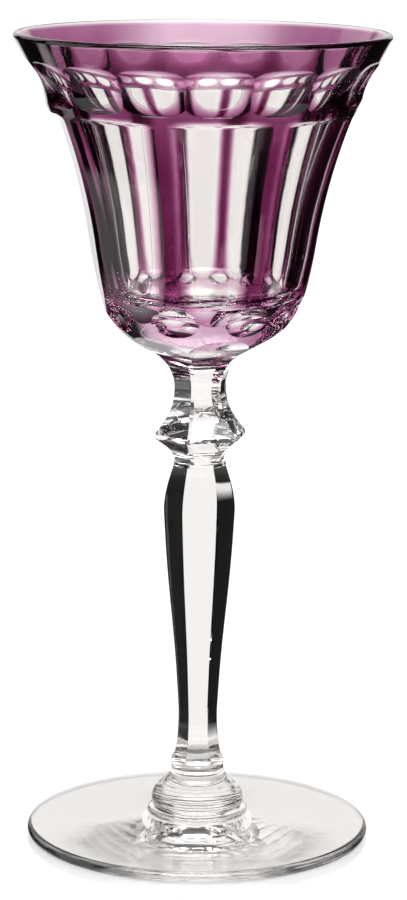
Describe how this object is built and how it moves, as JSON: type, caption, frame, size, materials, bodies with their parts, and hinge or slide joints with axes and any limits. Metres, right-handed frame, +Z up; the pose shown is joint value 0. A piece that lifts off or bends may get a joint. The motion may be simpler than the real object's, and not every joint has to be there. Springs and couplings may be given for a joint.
{
  "type": "hock wine glass",
  "caption": "Tall stemmed wine glass with a flared cut bowl cased in amethyst over clear crystal, a faceted knop and shaft, a turned button and a round foot, for serving wine",
  "frame": {"origin": "centre of the foot on the table plane, z = 0", "axes": "+Z up along the glass's own axis from foot to rim; the pictured front faces -Y; +X to the right"},
  "size_m": [0.087, 0.087, 0.19],
  "materials": {
    "clear_crystal": "polished clear crystal",
    "amethyst": "polished amethyst casing"
  },
  "bodies": {
    "root": {"foot": "clear_crystal", "foot_button": "clear_crystal", "stem_shaft": "clear_crystal", "stem_knop": "clear_crystal", "bowl_lining": "clear_crystal", "casing_rim_band": "amethyst", "casing_web": "amethyst"}
  },
  "joints": []
}
